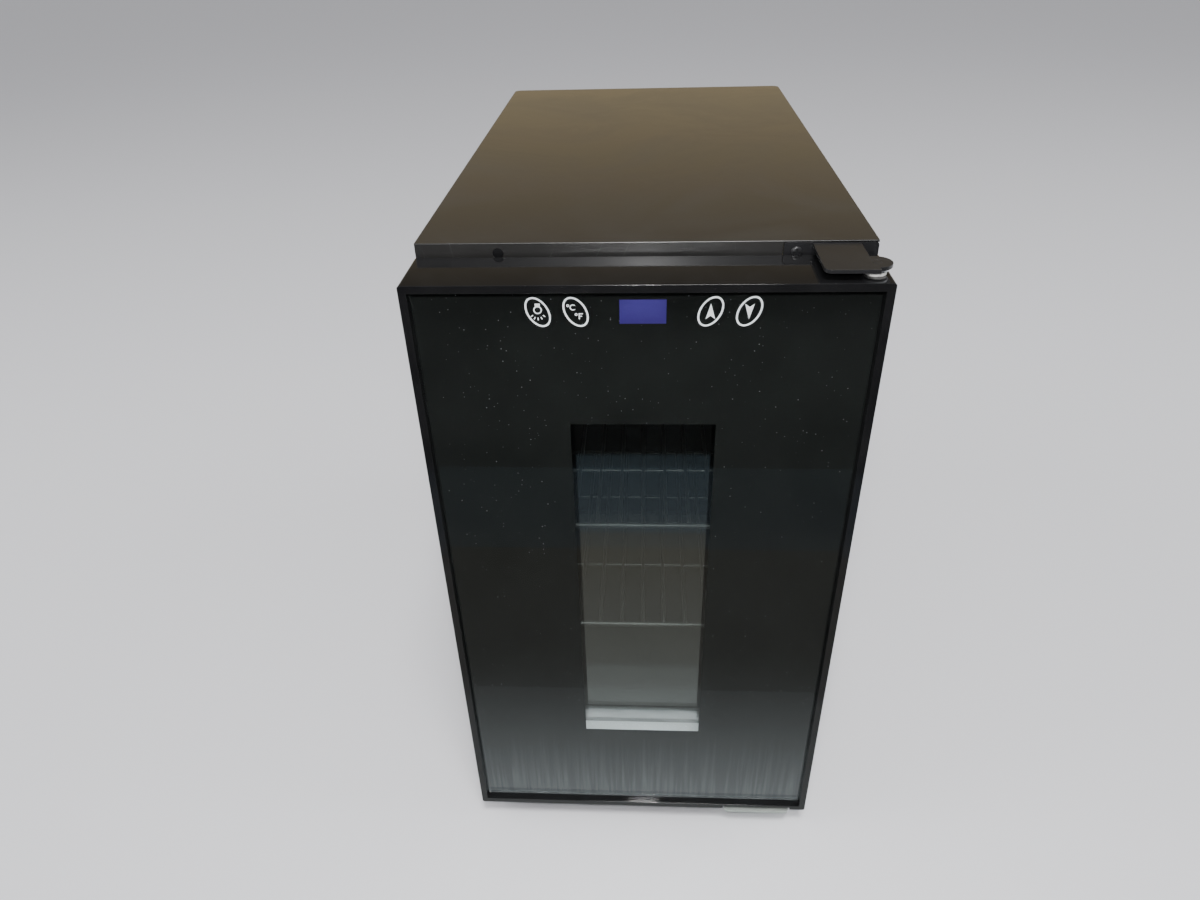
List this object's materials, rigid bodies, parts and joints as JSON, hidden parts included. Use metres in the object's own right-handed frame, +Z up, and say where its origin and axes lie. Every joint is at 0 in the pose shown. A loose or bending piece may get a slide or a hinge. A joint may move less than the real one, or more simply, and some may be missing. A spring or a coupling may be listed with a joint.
{
  "type": "wine cooler",
  "caption": "Small thermoelectric wine cooler: black steel cabinet with a hinged double-glazed door, touch controls, wire racks, sinks and fans.",
  "frame": {"origin": "on the floor, under the middle of the whole object's box", "axes": "+Z up, the door faces -Y, +X is to the right of a person who faces the door"},
  "size_m": [0.252, 0.5074, 0.458],
  "materials": {
    "painted_steel": "satin",
    "dark_steel": "satin",
    "bracket_paint": "satin",
    "zinc_steel": "satin",
    "foam": "matte",
    "black_liner": "satin",
    "black_plastic": "gloss",
    "fan_plastic": "satin",
    "rubber": "matte",
    "fin_aluminium": "satin",
    "ceramic_plate": "matte",
    "board_green": "satin",
    "copper_parts": "satin",
    "lamp_white": "satin",
    "lens_clear": "gloss",
    "coated_wire": "satin",
    "door_glass": "polished",
    "black_ink": "gloss",
    "white_ink": "satin",
    "display_violet": "gloss",
    "spacer_aluminium": "satin",
    "white_plastic": "satin"
  },
  "bodies": {
    "cabinet": {"outer_wrap": "painted_steel", "base_pan": "dark_steel", "rear_panel": "dark_steel", "cabinet_foam": "foam", "inner_liner": "black_liner", "hole_plug": "black_liner", "top_hinge_bracket": "bracket_paint", "top_hinge_pin": "bracket_paint", "hinge_washer": "zinc_steel", "top_hinge_screws": "bracket_paint", "lower_hinge_bracket": "zinc_steel", "lower_hinge_pin": "zinc_steel", "lower_hinge_screws": "zinc_steel", "feet": "rubber", "foot_screws": "zinc_steel", "cold_sink": "fin_aluminium", "spacer_block": "fin_aluminium", "thermoelectric_module": "ceramic_plate", "module_gasket": "rubber", "hot_sink": "fin_aluminium", "clamp_screws": "zinc_steel", "cold_fan_housing": "fan_plastic", "inner_fan_cover": "black_liner", "hot_fan_housing": "fan_plastic", "rear_guard": "fan_plastic", "guard_screws": "zinc_steel", "power_board": "board_green", "power_transformer": "copper_parts", "mains_inlet": "black_liner", "inlet_pins": "zinc_steel", "lamp_board": "lamp_white", "lamp_lens": "lens_clear", "temperature_sensor": "white_plastic"},
    "door": {"door_frame": "black_plastic", "front_glass": "door_glass", "ink_mask": "black_ink", "touch_icons": "white_ink", "display_module": "display_violet", "control_board": "board_green", "touch_springs": "copper_parts", "spacer_frame": "spacer_aluminium", "inner_pane": "door_glass", "door_foam": "foam", "door_liner": "black_liner", "door_gasket": "rubber", "top_bush": "white_plastic", "lower_bush": "white_plastic"},
    "cold_rotor": {"cold_fan_rotor": "fan_plastic"},
    "hot_rotor": {"hot_fan_rotor": "fan_plastic"},
    "lower_rack": {"rack_lower": "coated_wire"},
    "middle_rack": {"rack_middle": "coated_wire"},
    "upper_rack": {"rack_upper": "coated_wire"}
  },
  "joints": [
    {"name": "door_hinge", "type": "hinge", "parent": "cabinet", "child": "door", "pos_m": [0.118, -0.23825, 0.234], "axis": [0, 0, 1], "range_deg": [0, 120]},
    {"name": "cold_fan_spin", "type": "hinge", "parent": "cabinet", "child": "cold_rotor", "pos_m": [0, 0.08475, 0.234], "axis": [0, 1, 0], "continuous": true},
    {"name": "hot_fan_spin", "type": "hinge", "parent": "cabinet", "child": "hot_rotor", "pos_m": [0, 0.21975, 0.234], "axis": [0, 1, 0], "continuous": true},
    {"name": "lower_rack_slide", "type": "slide", "parent": "cabinet", "child": "lower_rack", "axis": [0, -1, 0], "range_m": [0, 0.034]},
    {"name": "middle_rack_slide", "type": "slide", "parent": "cabinet", "child": "middle_rack", "axis": [0, -1, 0], "range_m": [0, 0.034]},
    {"name": "upper_rack_slide", "type": "slide", "parent": "cabinet", "child": "upper_rack", "axis": [0, -1, 0], "range_m": [0, 0.034]}
  ]
}
